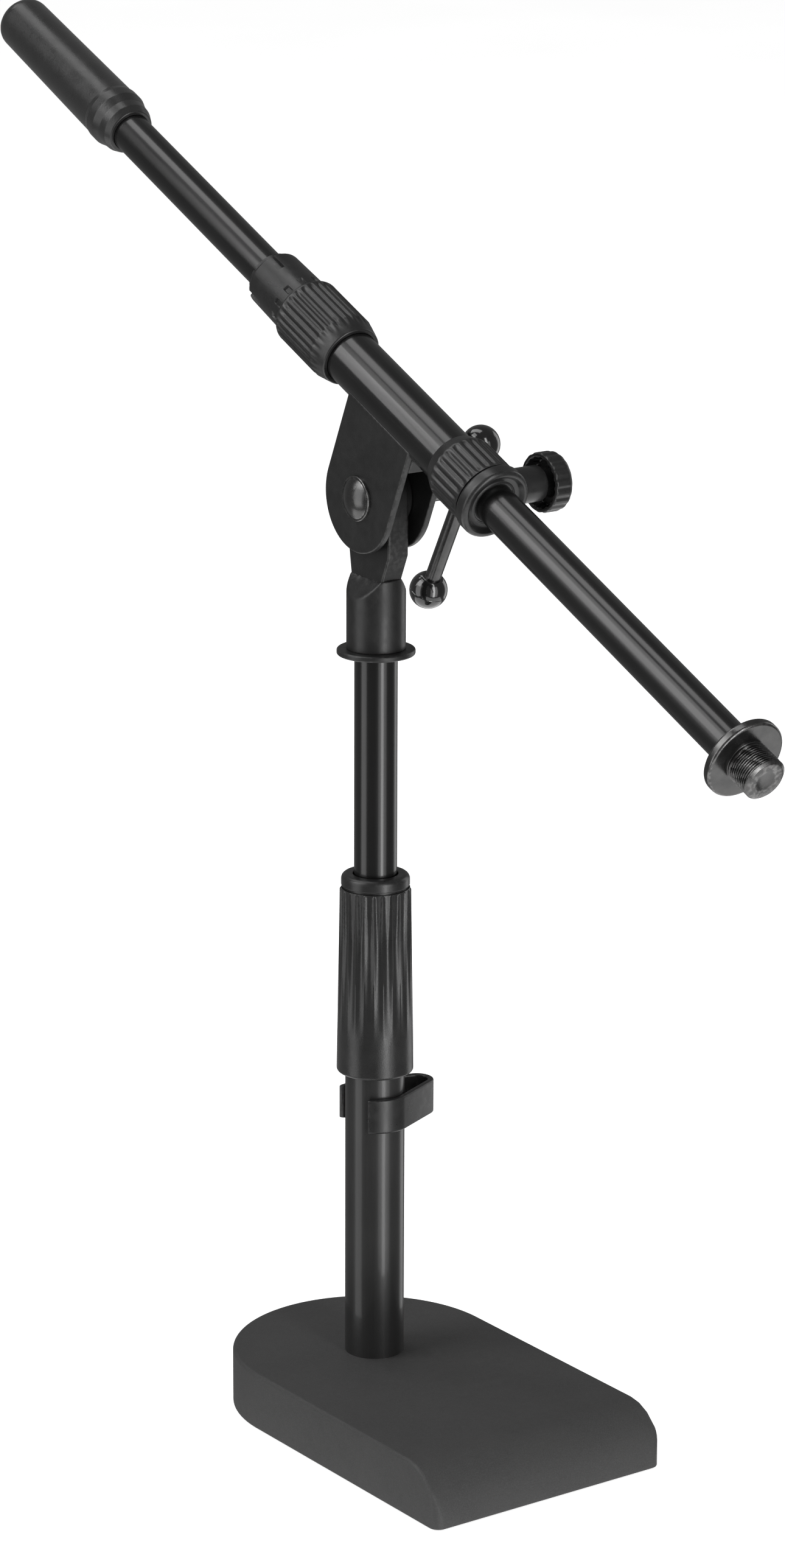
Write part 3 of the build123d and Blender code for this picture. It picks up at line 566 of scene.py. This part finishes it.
def clutch_ring():
    """Nylon ring on top of the grip, with a shadow groove below and a round shoulder."""
    low, high, radius = span("clutch_ring", MAST)
    bore = span("upper_tube", MAST)[2] + 0.4
    seat = radius - 2.2
    section = rounded(
        [
            (low, seat, 0),
            (low, radius - 0.8, 0),
            (low + 0.9, radius - 0.8, 0),
            (low + 0.9, radius, 0.35),
            (high, radius, 2.0),
            (high, bore, 0.4),
            (high - 1.5, bore, 0),
            (high - 1.5, seat, 0),
        ]
    )
    work = bmesh.new()
    turned(work, section, MAST, 120)
    piece("mast_clutch_ring", work, "mast_clutch", "nylon_black", "clutch_ring")


def mast_flange():
    """Plug and stud at the top of the mast, with the thin flange between them."""
    low, high, radius = span("mast_fitting", MAST)
    _, flange_low, tube_radius = span("upper_tube", MAST)
    flange_high = span("swivel_socket", MAST)[0]
    plug_radius = tube_radius - 1.24
    section = rounded(
        [
            (low, 0, 0),
            (low, plug_radius, 0.6),
            (flange_low, plug_radius, 0),
            (flange_low, radius, 0.7),
            (flange_high, radius, 0.7),
            (flange_high, tube_radius, 0),
            (high, tube_radius, 0.8),
            (high, 0, 0),
        ]
    )
    work = bmesh.new()
    turned(work, section, MAST, 120)
    piece("mast_flange", work, "mast", "satin_black", "mast_fitting")


def swivel_socket():
    """Round socket sloped off on two sides, with the flat tongue that carries the pivot."""
    low, top, _ = span("swivel_socket", MAST)
    radius, half = 10.85, 4.4
    shoulder_top, shoulder_foot = 322.5, 315.0
    slope = (shoulder_top - shoulder_foot) / (radius - half)
    work = bmesh.new()
    section = rounded(
        [(low, 0, 0), (low, radius, 0.3), (shoulder_top, radius, 0.7), (shoulder_top, 0, 0)],
        stride=2.5,
    )
    crown = shoulder_top - 1
    section = [point for point in section if point[0] < low + 2 or point[0] > crown]
    turned(work, section, MAST, 144)
    for vertex in work.verts:
        if vertex.co.z > crown * MM:
            vertex.co.z -= slope * max(0.0, abs(vertex.co.x) - half * MM)
    piece("swivel_socket_body", work, "mast", "satin_black", "swivel_socket")
    # the tongue, with its round top about the pivot
    _, pivot_y, pivot_z = Vector(JOINTS["boom_tilt"]["pos_m"]) / MM
    tongue_radius = top - pivot_z
    wide = 332.0                   # the height where the tongue has its full width
    root = shoulder_top - 5
    foot = sqrt(radius**2 - half**2) - 0.1
    outline = [(pivot_y - tongue_radius, wide), (-foot, shoulder_top), (-foot, root)]
    outline += [(foot, root), (foot, shoulder_top), (pivot_y + tongue_radius, wide)]
    outline += arc_points(pivot_y, pivot_z, tongue_radius, 0, 180, 28)
    work = bmesh.new()
    prism(work, outline, -half, half, place((0, 0, 0), SIDE, (0, 1, 0)), 0.7)
    piece("swivel_tongue", work, "mast", "satin_black")


def cable_clip():
    """Springy strip round the lower tube that reaches out to one side to hold a cable."""
    low, high, _ = span("cable_clip", MAST)
    tube = span("lower_tube", MAST)[2] + 0.06
    wall, edge = 2.3, 0.6
    end_x, end_y, end_radius = 20.3, 1.5, 4.0
    lean = atan2(end_y, end_x)
    spread = acos((tube - end_radius) / hypot(end_x, end_y))
    upper, lower = degrees(lean + spread), degrees(lean - spread)
    rear, front = 124, -137
    flare, flared = 1.0, 16

    def side(offset):
        """One side of the strip, this far out from its inner face, from its rear end on."""
        path = []
        for turn in (0, 0.8, 3, 6, 9, 12, flared):
            rise = flare * (1 - turn / flared) ** 2
            path += arc_points(0, 0, tube + offset + rise, rear - turn, rear - turn, 1)[:1]
        path += arc_points(0, 0, tube + offset, rear - flared - 4, upper, 8)
        path += arc_points(end_x, end_y, end_radius + offset, upper, lower, 22)[1:]
        path += arc_points(0, 0, tube + offset, lower, front + 3, 18)[1:]
        return path + arc_points(0, 0, tube + offset, front + 0.8, front, 1)

    section = rounded([(low, 0, edge), (high, 0, edge), (high, wall, edge), (low, wall, edge)], 4)
    inner, outer = side(0), side(wall)
    insets = [edge, edge / 4] + [0] * (len(inner) - 4) + [edge / 4, edge]
    rings = []
    for (x, y), (far_x, far_y), inset in zip(inner, outer, insets):
        ring = []
        for height, out in drawn_in(section, inset) if inset else section:
            share = out / wall
            ring.append((x + (far_x - x) * share, y + (far_y - y) * share, height))
        rings.append(ring)
    work = bmesh.new()
    loft(work, rings, MAST)
    piece("cable_clip_strip", work, "clip", "nylon_black", "cable_clip")


# ---- pivot ----
def bracket():
    """Two pressed ears with round feet, and the saddle between them under the sleeve."""
    ear_outer = span("boom_bracket", PIVOT)[1]
    ear_thick = 2.5
    ear_gap = ear_outer - ear_thick
    sleeve_radius = span("boom_sleeve", BOOM)[2]
    boom_y = (PIVOT.inverted() @ Vector(JOINTS["boom_roll"]["pos_m"])).y
    half = 20.2
    top = boom_y + 3.9
    outline = [(half, top), (-half, top)] + arc_points(0, 0, half, 180, 0, 48)
    work = bmesh.new()
    for low in (-ear_outer, ear_gap):
        prism(work, outline, low, low + ear_thick, PIVOT, 0.6)
    # the saddle follows the sleeve's underside
    seat = sleeve_radius - 0.25
    edge = ear_gap + 0.2
    web = 3.0
    reach = degrees(asin(edge / seat))
    saddle = [(edge, -sleeve_radius - web), (-edge, -sleeve_radius - web)]
    saddle += arc_points(0, 0, seat, 270 - reach, 270 + reach, 14)
    middle = (BOOM.inverted() @ Vector(JOINTS["boom_tilt"]["pos_m"])).z
    prism(work, saddle, middle - half, middle + half, BOOM, 0.4)
    piece("boom_bracket_ears", work, "head", "satin_black", "boom_bracket")


def pivot_bolt():
    """Domed bolt head inside a flat rim, and its shank through both ears."""
    low, high, radius = span("pivot_bolt", PIVOT)
    seat = -span("boom_bracket", PIVOT)[1]
    rim = seat - 1.1
    shank = 3.0
    dome_radius = radius - 0.9
    dome_height = rim - low
    sphere = (dome_radius**2 + dome_height**2) / (2 * dome_height)
    dome = arc_points(low + sphere, 0, sphere, 180, 180 - degrees(asin(dome_radius / sphere)), 14)
    groove = [(rim + 0.25, dome_radius + 0.05)]
    collar = rounded(
        [
            (rim, 0, 0),
            (rim, dome_radius + 0.1, 0),
            (rim, radius, 0.4),
            (seat, radius, 0),
            (seat, shank, 0),
            (high, shank, 0.5),
            (high, 0, 0),
        ],
        4,
    )
    # the outline starts on the axis only to be left open, and the dome takes that stretch's place
    collar = [point for point in collar if point[1] > dome_radius or point[0] > rim]
    work = bmesh.new()
    turned(work, [(low, 0)] + dome[1:] + groove + collar, PIVOT, 96)
    piece("pivot_bolt_head", work, "head", "black_zinc", "pivot_bolt")


def washer():
    """Thick washer between the ear and the handle."""
    low, high, radius = span("handle_washer", PIVOT)
    section = rounded([(low, 3, 0), (low, radius, 0.3), (high, radius, 0.4), (high, 3, 0.2)], 4)
    work = bmesh.new()
    turned(work, section, PIVOT, 72)
    piece("pivot_washer", work, "head", "black_zinc", "handle_washer")


def handle_hub():
    """Cast hub that screws onto the pivot bolt, with the cross boss that the bar slides in."""
    low, high, _ = span("handle_hub", PIVOT)
    spindle_end, spindle = span("pivot_bolt", PIVOT)[1] + 1, 3.06
    bar_radius = span("t_bar", BAR)[2]
    bar_x = centre("t_bar").x / MM
    work = bmesh.new()
    barrel = rounded(
        [
            (spindle_end, 0, 0),
            (spindle_end, spindle, 0),
            (low, spindle, 0),
            (low, 6.3, 0.8),
            (low + 6, 6.3, 2.0),
            (low + 9, 5.3, 2.0),
            (bar_x + 3, 5.3, 1.4),
            (high, 3.4, 0.9),
            (high, 0, 0),
        ],
        stride=3,
    )
    turned(work, barrel, PIVOT, 72)
    hub_middle = (BAR.inverted() @ (PIVOT @ Vector((0, 0, bar_x)))).z
    cross, cross_radius = 9.85, 4.8
    boss = rounded(
        [
            (hub_middle - cross, bar_radius + 0.06, 0.3),
            (hub_middle - cross, cross_radius, 0.7),
            (hub_middle + cross, cross_radius, 0.7),
            (hub_middle + cross, bar_radius + 0.06, 0.3),
        ],
        stride=3,
    )
    turned(work, boss, BAR, 60)
    piece("handle_hub_casting", work, "handle", "black_zinc", "handle_hub")


def handle_balls():
    """Polished balls on the bar's ends, each with a small flat neck and a parting line."""
    low, high, radius = span("t_bar_balls", BAR)
    bar_radius = span("t_bar", BAR)[2]
    neck = 3.9
    flat = -sqrt(radius**2 - neck**2)
    shut = degrees(asin(neck / radius))
    ball = [(radius, 0)] + arc_points(0, 0, radius, 0, 89, 22)[1:]
    ball += [(0, radius - 0.12)] + arc_points(0, 0, radius, 91, 180 - shut, 20)
    ball += [(flat, neck - 0.5), (flat, bar_radius), (0, bar_radius), (0, 0)]
    work = bmesh.new()
    for middle, outward in ((low + radius, -1), (high - radius, 1)):
        turned(work, [(middle + outward * along, out) for along, out in ball], BAR, 64)
    piece("handle_ball_pair", work, "handle_bar", "gloss_ball", "t_bar_balls")


# ---- front clamp ----
def front_collar():
    """Ribbed collar on the sleeve's front end: smooth rim, dished face and a boss for the screw."""
    _, sleeve_front, sleeve_radius = span("boom_sleeve", BOOM)
    rod_radius = span("boom_rod", BOOM)[2]
    length, dish = 28, 2
    high = span("collar_bush", BOOM)[1] + dish
    low = high - length
    barrel_radius, rim_radius, seat_radius = 13.0, 13.8, 9.5
    ribs, depth = 24, 0.7
    ribs_low, ribs_high = low + 4.5, high - 6.4

    def ribbed(height, radius, angle):
        if radius < barrel_radius - 1.2 or not ribs_low < height < ribs_high:
            return radius
        fade = min(1.0, (height - ribs_low) / 2, ribs_high - height)
        return radius - depth * fade * furrow(angle, ribs, 1.6)

    section = rounded(
        [
            (low, sleeve_radius, 0),
            (low, sleeve_radius + 0.8, 0.5),
            (low + 5, barrel_radius, 2.5),
            (high - 6.2, barrel_radius, 0),
            (high - 6.2, barrel_radius - 0.7, 0),
            (high - 5.4, barrel_radius - 0.7, 0),
            (high - 5.4, rim_radius, 0.9),
            (high - 0.1, rim_radius, 1.4),
            (high - 0.1, rim_radius - 2.0, 0.5),
            (high - 1.8, rim_radius - 3.4, 1.0),
            (high - 2.0, rod_radius + 1.4, 0.3),
            (high - 1.6, rod_radius + 0.6, 0.2),
            (high - 2.6, rod_radius + 0.6, 0),
            (high - 2.6, seat_radius, 0),
            (sleeve_front, seat_radius, 0),
            (sleeve_front, sleeve_radius, 0),
        ],
        5,
        stride=1.8,
    )
    work = bmesh.new()
    turned(work, section, BOOM, ribs * 12, ribbed)
    boss_foot, boss_end = seat_radius + 0.1, span("clamp_knob", KNOB)[0] - 0.4
    bore, boss_radius = 3.0, 6.5
    boss = rounded(
        [
            (boss_foot, bore, 0),
            (boss_foot, boss_radius, 0),
            (boss_end, boss_radius, 0.8),
            (boss_end, bore, 0.4),
        ],
        5,
        stride=4,
    )
    turned(work, boss, KNOB, 72)
    piece("boom_front_collar", work, "head", "nylon_black", "front_collar")


def clamp_knob():
    """Round thumb knob: scalloped rim, flat face, and a hollow back round its hub."""
    low, high, radius = span("clamp_knob", KNOB)
    scallops, depth = 18, 0.5
    screw = 2.94

    def scalloped(height, out, angle):
        if out < radius - 2.4 or height < low + 0.2:
            return out
        fade = min(1.0, (high - height) / 2.5)
        return out - depth * fade * furrow(angle, scallops, 2)

    section = rounded(
        [
            (high - 2, 0, 0),
            (high - 2, screw, 0),
            (low, screw, 0),
            (low, 4.9, 0.5),
            (low + 4.6, 5.2, 0.8),
            (low + 4.6, radius - 2.2, 0.8),
            (low, radius - 1.5, 0.5),
            (low, radius, 0.7),
            (high, radius, 2.6),
            (high, 0, 0),
        ],
        stride=1.2,
    )
    work = bmesh.new()
    turned(work, section, KNOB, scallops * 12, scalloped)
    piece("clamp_knob_head", work, "clamp", "nylon_black", "clamp_knob")


# ---- rear clutch ----
def rear_collar():
    """Collar of the boom's clutch, slotted at its rear end and notched beside the nut."""
    low, high, radius = span("rear_collar", BOOM)
    sleeve_back, _, sleeve_radius = span("boom_sleeve", BOOM)
    rod_radius = span("boom_rod", BOOM)[2]
    nut_back = span("boom_clutch_nut", BOOM)[0]
    mouth, sleeve_bore = 9.6, 8.95
    slots, slot_half, slot_length, slot_floor, slot_shift = 4, 1.3, 8, mouth + 0.3, 0.22
    notches, notch_half, notch_depth = 12, 1.0, 0.6
    notch_low, notch_high = nut_back - 4.5, nut_back - 1.5

    def off(angle, count, shift=0.0):
        """How far round the rim the nearest of count evenly spaced marks is."""
        return abs((angle * count / (2 * pi) + shift) % 1 - 0.5) * 2 * pi / count * radius

    def cut(height, out, angle):
        if out < radius - 1.4:
            return out
        if height < low + slot_length and off(angle, slots, slot_shift) < slot_half:
            return slot_floor
        if notch_low < height < notch_high and off(angle, notches) < notch_half:
            return out - notch_depth
        return out

    section = rounded(
        [
            (low, mouth, 0),
            (low, radius - 0.5, 0.9),
            (nut_back - 0.4, radius, 0.3),
            (nut_back - 0.4, sleeve_radius, 0),
            (sleeve_back, sleeve_radius, 0),
            (sleeve_back, sleeve_bore, 0),
            (high, sleeve_bore, 0),
            (high, rod_radius + 0.4, 0),
            (low + 13, rod_radius + 0.4, 0),
            (low + 13, mouth, 0),
        ],
        5,
        stride=0.75,
    )
    work = bmesh.new()
    turned(work, section, BOOM, 240, cut)
    piece("boom_rear_collar", work, "head", "nylon_black", "rear_collar")


def clutch_nut():
    """Ribbed nut that closes the boom's clutch, tapered at its front."""
    low, high, radius = span("boom_clutch_nut", BOOM)
    bore = span("boom_sleeve", BOOM)[2] + 0.06
    ribs, depth = 28, 0.75
    ribs_low, ribs_high = low + 1.2, high - 3

    def ribbed(height, out, angle):
        if out < bore + 1.2:
            return out
        fade = min(1.0, (height - ribs_low) / 1.5, (ribs_high - height) / 6)
        return out - depth * max(0.0, fade) * furrow(angle, ribs, 1.3)

    section = rounded(
        [
            (low, bore, 0.3),
            (low, radius, 1.1),
            (high - 7, radius, 3.0),
            (high, radius - 1.7, 0.6),
            (high, bore, 0.3),
        ],
        stride=1.5,
    )
    work = bmesh.new()
    turned(work, section, BOOM, ribs * 10, ribbed)
    piece("boom_clutch_grip", work, "boom_nut", "nylon_black", "boom_clutch_nut")


# ---- boom ends ----
def end_fitting():
    """Flange and 5/8 inch stud at the boom's front end, with its thread cut as a helix."""
    low, tip, flange_radius = span("boom_end_fitting", BOOM)
    _, rod_front, rod_radius = span("boom_rod", BOOM)
    flange_front = rod_front + 3.5
    bore = rod_radius - 1.3
    crest, pitch, depth = 7.94, 25.4 / 27, 0.5
    first_turn, last_turn = flange_front + 1.3, tip - 0.9

    def threaded(height, radius, angle):
        if abs(radius - crest) > 0.01 or not first_turn <= height <= last_turn:
            return radius
        # each turn has a flat crest and root, joined by sloping flanks
        phase = (height / pitch - angle / (2 * pi)) % 1
        ridge = min(1.0, max(0.0, 1.5 - abs(phase - 0.5) * 5))
        fade = min(1.0, (height - first_turn) / 0.4, (last_turn - height) / 0.4)
        return radius - depth * fade * (1 - ridge)

    shank = rounded(
        [
            (low, 0, 0),
            (low, bore, 0.5),
            (rod_front, bore, 0),
            (rod_front, flange_radius, 0.9),
            (flange_front, flange_radius, 0.9),
            (flange_front, crest - 0.4, 0.3),
            (first_turn, crest - 0.4, 0),
            (first_turn, 0, 0),
        ],
        5,
    )
    shank = [point for point in shank if point[1] > bore - 1 or point[0] < low + 1]
    rows = 130
    turns = [(first_turn + (last_turn - first_turn) * row / rows, crest) for row in range(rows + 1)]
    dent = tip - 0.25
    tip_face = [(last_turn + 0.05, crest - 0.15), (tip - 0.1, crest - 0.95), (tip, crest - 1.25)]
    tip_face += [(tip, crest - 4), (dent, crest - 4.6), (dent, 0)]
    work = bmesh.new()
    turned(work, shank + turns + tip_face, BOOM, 96, threaded)
    piece("boom_thread_fitting", work, "boom", "black_zinc", "boom_end_fitting")


def rear_grip():
    """Rubber grip over the counterweight: round end behind, raised lip and nose in front."""
    low, high, lip_radius = span("counterweight_sleeve", BOOM)
    rod_radius = span("boom_rod", BOOM)[2]
    rear_radius, front_radius = 10.4, 11.2
    weight_radius = span("counterweight", BOOM)[2] + 0.02
    section = rounded(
        [
            (low + 7, 0, 0),
            (low + 7, weight_radius, 0),
            (high - 10, weight_radius, 0),
            (high - 10, rod_radius + 0.02, 0),
            (high - 0.2, rod_radius + 0.02, 0.3),
            (high - 0.2, rod_radius + 1.5, 0.6),
            (high - 3.2, lip_radius - 1.5, 1.6),
            (high - 6.5, lip_radius - 1.2, 0.9),
            (high - 10, lip_radius - 0.1, 0.9),
            (high - 14, lip_radius - 0.1, 0.9),
            (high - 16, front_radius, 0.8),
            (low, rear_radius, 5.4),
            (low, 0, 0),
        ],
        8,
        stride=4,
    )
    work = bmesh.new()
    turned(work, section, BOOM, 120)
    piece("boom_rear_grip", work, "boom", "grip_rubber", "counterweight_sleeve")


# ---- stage ----
def floor():
    """A plain pale floor."""
    paint = Paint("studio_floor", Specular_IOR_Level=0.2)
    colour = paint.mottle(400, grey(0.86), grey(0.88))
    normal = paint.bump(paint.noise(4), 0.01)
    paint.finish(colour, paint.spread(paint.noise(90), 0.75, 0.85), normal)
    paint.link(colour, paint.shader.inputs["Emission Color"])
    paint.shader.inputs["Emission Strength"].default_value = 0.93
    half, cuts = 20.0, 8
    work = bmesh.new()
    bmesh.ops.create_grid(work, x_segments=cuts, y_segments=cuts, size=half)
    made = solid("studio_floor", work, paint.material)
    # only the camera sees the floor: the light on the stand comes from the cards and the room
    made.visible_glossy = False
    made.visible_diffuse = False
    made.visible_shadow = False


def soft_box(name, azimuth, elevation, distance, half_width, half_height, radiance):
    """An area light that faces the stand, placed and sized by angles seen from its middle.

    Azimuth is counted from +X towards +Y; it and the half sizes are in degrees."""
    data = bpy.data.lights.new(name, "AREA")
    data.shape = "RECTANGLE"
    data.size = 2 * distance * tan(radians(half_width))
    data.size_y = 2 * distance * tan(radians(half_height))
    data.energy = radiance * pi * data.size * data.size_y
    lamp = bpy.data.objects.new(name, data)
    scene.collection.objects.link(lamp)
    flat = Vector((cos(radians(azimuth)), sin(radians(azimuth)), 0)) * cos(radians(elevation))
    direction = flat + Vector((0, 0, sin(radians(elevation))))
    lamp.location = Vector((0, 0, cad_high.z * 0.6)) + direction * distance
    lamp.rotation_mode = "QUATERNION"
    lamp.rotation_quaternion = direction.to_track_quat("Z", "Y")


def studio():
    """Soft studio light: a dim room with pale cards round it, a strip in front and one above."""
    world = bpy.data.worlds.new("studio")
    scene.world = world
    world.use_nodes = True
    room = world.node_tree.nodes["Background"]
    room.inputs["Color"].default_value = (0.16, 0.16, 0.16, 1)
    soft_box("left_box", 168, 12, 2.6, 17, 40, 1.5)
    soft_box("front_card", -90, -4, 2.7, 22, 28, 1.2)
    soft_box("front_strip", -91, 6, 2.5, 6.5, 40, 4.4)
    soft_box("right_card", 4, 0, 2.6, 13, 30, 1.0)
    soft_box("high_card", 163, 45, 2.6, 13, 20, 2.0)
    soft_box("high_strip", 144, 34, 2.5, 2.0, 16, 4.2)
    soft_box("top_card", 105, 68, 2.5, 10, 24, 2.2)
    soft_box("floor_bounce", 0, -90, 2.0, 50, 50, 1.1)
    scene.view_settings.view_transform = "Standard"


def camera():
    """The camera, with millimetres from the floor under the mast and angles in degrees."""
    data = bpy.data.cameras.new("camera")
    data.lens = 114.89
    data.sensor_width = 36
    azimuth, pitch, roll = -35.52, 15.72, 0.197
    made = bpy.data.objects.new("camera", data)
    made.matrix_world = (
        Matrix.Translation(Vector((-1019.0, -1438.1, 740.2)) * MM)
        @ Matrix.Rotation(radians(azimuth), 4, "Z")
        @ Matrix.Rotation(radians(90 - pitch), 4, "X")
        @ Matrix.Rotation(radians(roll), 4, "Z")
    )
    data.clip_start, data.clip_end = 0.05, 100
    scene.collection.objects.link(made)
    scene.camera = made


for leftover in ("Cube", "Light", "Camera"):
    if leftover in bpy.data.objects:
        bpy.data.objects.remove(bpy.data.objects[leftover])
camera()
finish_cad_nodes()
base()
mast_grip()
clutch_ring()
mast_flange()
swivel_socket()
cable_clip()
bracket()
pivot_bolt()
washer()
handle_hub()
handle_balls()
front_collar()
clamp_knob()
rear_collar()
clutch_nut()
end_fitting()
rear_grip()
floor()
studio()

bpy.context.view_layer.update()
